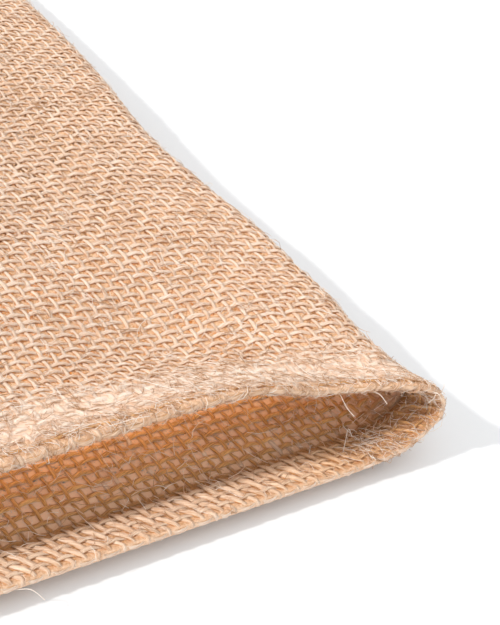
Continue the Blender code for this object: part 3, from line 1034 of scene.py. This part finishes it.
def add_camera():
    """The camera, at the photograph's viewing angle."""
    camera = bpy.data.objects.new("camera", bpy.data.cameras.new("camera"))
    bpy.context.scene.collection.objects.link(camera)
    right = Vector(CAMERA_RIGHT).normalized()
    back = Vector(CAMERA_BACK)
    back = (back - back.dot(right) * right).normalized()
    turn = Matrix((right, back.cross(right), back)).transposed()
    camera.matrix_world = Matrix.Translation(CAMERA_PLACE) @ turn.to_4x4()
    camera.data.lens = LENS
    camera.data.sensor_width = 36.0
    camera.data.clip_start = 0.01
    camera.data.clip_end = 20.0
    bpy.context.scene.camera = camera
    bpy.context.scene.view_settings.view_transform = "Standard"


# ---------------------------------------------------------------- add-on


def length_setting(name, description, default, precision=5):
    """A length that a user can change, in metres."""
    return bpy.props.FloatProperty(
        name=name, description=description, default=default, precision=precision, unit="LENGTH")


def angle_setting(name, description, default):
    """An angle that a user can change, in radians."""
    return bpy.props.FloatProperty(name=name, description=description, default=default, unit="ROTATION")


def strength_setting(name, description, default):
    """A strength of light that a user can change."""
    return bpy.props.FloatProperty(name=name, description=description, default=default, min=0.0)


def colour_setting(name, description, default):
    """A colour that a user can change."""
    return bpy.props.FloatVectorProperty(
        name=name, description=description, default=default, subtype="COLOR", min=0.0, max=1.0)


class SackWeave(bpy.types.PropertyGroup):
    """Sizes of the sack's yarns and loose fibres."""

    warp_width: length_setting("Warp width", "Width of a warp yarn", 0.00084)
    weft_width: length_setting("Weft width", "Width of a weft yarn", 0.00110)
    warp_thickness: length_setting("Warp thickness", "Thickness of a warp yarn", 0.00054)
    weft_thickness: length_setting("Weft thickness", "Thickness of a weft yarn", 0.00056)
    warp_crimp: length_setting(
        "Warp crimp", "How far a warp leaves the cloth's middle at a crossing", 0.00018)
    weft_crimp: length_setting(
        "Weft crimp", "How far a weft leaves the cloth's middle at a crossing", 0.00024)
    fibre_thickness: length_setting("Fibre thickness", "Thickness of a loose fibre", 0.00013)


class SackColours(bpy.types.PropertyGroup):
    """Colours of the sack's yarns, its loose fibres and the fuzz between its yarns."""

    outer_light: colour_setting("Outer light", "Light fibres on the outer face", (0.97, 0.78, 0.63))
    outer_deep: colour_setting("Outer deep", "Deep fibres on the outer face", (0.73, 0.43, 0.25))
    # The inner face's colours are painted shade and painted warm light inside the sack.
    inner_light: colour_setting("Inner light", "Light fibres on the inner face", (1.0, 0.54, 0.19))
    inner_deep: colour_setting("Inner deep", "Deep fibres on the inner face", (0.42, 0.15, 0.02))
    fibre_deep: colour_setting("Fibre deep", "Deepest loose fibres", (0.36, 0.17, 0.06))
    fibre_middle: colour_setting("Fibre middle", "Loose fibres of a middle colour", (0.74, 0.46, 0.28))
    fibre_pale: colour_setting("Fibre pale", "Palest loose fibres", (1.0, 0.93, 0.84))
    fuzz_deep: colour_setting("Fuzz deep", "Deep fuzz between the yarns", (0.55, 0.27, 0.11))
    fuzz_light: colour_setting("Fuzz light", "Light fuzz between the yarns", (0.91, 0.61, 0.39))


class SackStage(bpy.types.PropertyGroup):
    """Floor and light."""

    floor_size: length_setting("Floor size", "Side of the square floor", 6.0, precision=2)
    floor_colour: colour_setting("Floor colour", "Colour of the floor", (0.90, 0.90, 0.90))
    key_strength: strength_setting("Key strength", "Strength of the low light", 2.1)
    key_height: angle_setting("Key height", "Height of the low light", 0.576)
    key_turn: angle_setting("Key turn", "Heading of the low light, from +X", -0.239)
    key_softness: angle_setting("Key softness", "Angular size of the low light", 0.055)
    glow_strength: strength_setting(
        "Glow strength", "Strength of the light that comes through the cloth", 0.0185)
    glow_colour: colour_setting(
        "Glow colour", "Colour of the light that comes through the cloth", (1.0, 0.72, 0.42))
    fill_strength: strength_setting("Fill strength", "Brightness of the pale surroundings", 1.0)
    fill_colour: colour_setting("Fill colour", "Colour of the pale surroundings", (0.97, 0.985, 1.0))


class SACK_OT_cloth(bpy.types.Operator):
    """Lay the thin sheet of cloth on the folds of the sack"""

    bl_idname = "jute_sack.cloth"
    bl_label = "Cloth"

    def execute(self, context):
        build_cloth(context.scene.sack_colours)
        return {"FINISHED"}


class SACK_OT_yarns(bpy.types.Operator):
    """Weave the warp and weft yarns"""

    bl_idname = "jute_sack.yarns"
    bl_label = "Yarns"

    def execute(self, context):
        build_yarns(context.scene.sack_weave, context.scene.sack_colours)
        return {"FINISHED"}


class SACK_OT_fibres(bpy.types.Operator):
    """Let loose fibres and hairs stand off the yarns"""

    bl_idname = "jute_sack.fibres"
    bl_label = "Fibres"

    def execute(self, context):
        build_fibres(context.scene.sack_weave, context.scene.sack_colours)
        return {"FINISHED"}


class SACK_OT_stage(bpy.types.Operator):
    """Set up the floor, the lights and the camera"""

    bl_idname = "jute_sack.stage"
    bl_label = "Stage"

    def execute(self, context):
        settings = context.scene.sack_stage
        add_floor(settings)
        add_lights(settings)
        add_camera()
        return {"FINISHED"}


class SACK_PT_panel(bpy.types.Panel):
    """Lists the steps that build the sack"""

    bl_idname = "SACK_PT_panel"
    bl_label = "Jute sack"
    bl_space_type = "VIEW_3D"
    bl_region_type = "UI"
    bl_category = "Jute sack"

    def draw(self, context):
        for step in STEPS:
            self.layout.operator(step.bl_idname)
        for label in SETTINGS:
            group = getattr(context.scene, label)
            for name in group.bl_rna.properties.keys():
                if name not in ("rna_type", "name"):
                    self.layout.prop(group, name)


STEPS = (SACK_OT_cloth, SACK_OT_yarns, SACK_OT_fibres, SACK_OT_stage)
SETTINGS = {"sack_weave": SackWeave, "sack_colours": SackColours, "sack_stage": SackStage}
CLASSES = (*SETTINGS.values(), *STEPS, SACK_PT_panel)


def register():
    """Register the classes and give the scene its settings."""
    for cls in CLASSES:
        bpy.utils.register_class(cls)
    for label, group in SETTINGS.items():
        setattr(bpy.types.Scene, label, bpy.props.PointerProperty(type=group))


def unregister():
    """Take the settings and the classes away again."""
    for label in SETTINGS:
        delattr(bpy.types.Scene, label)
    for cls in reversed(CLASSES):
        bpy.utils.unregister_class(cls)


def main():
    """Build the sack and its stage."""
    register()
    bpy.ops.jute_sack.cloth()
    bpy.ops.jute_sack.yarns()
    bpy.ops.jute_sack.fibres()
    bpy.ops.jute_sack.stage()


if __name__ == "__main__":
    main()
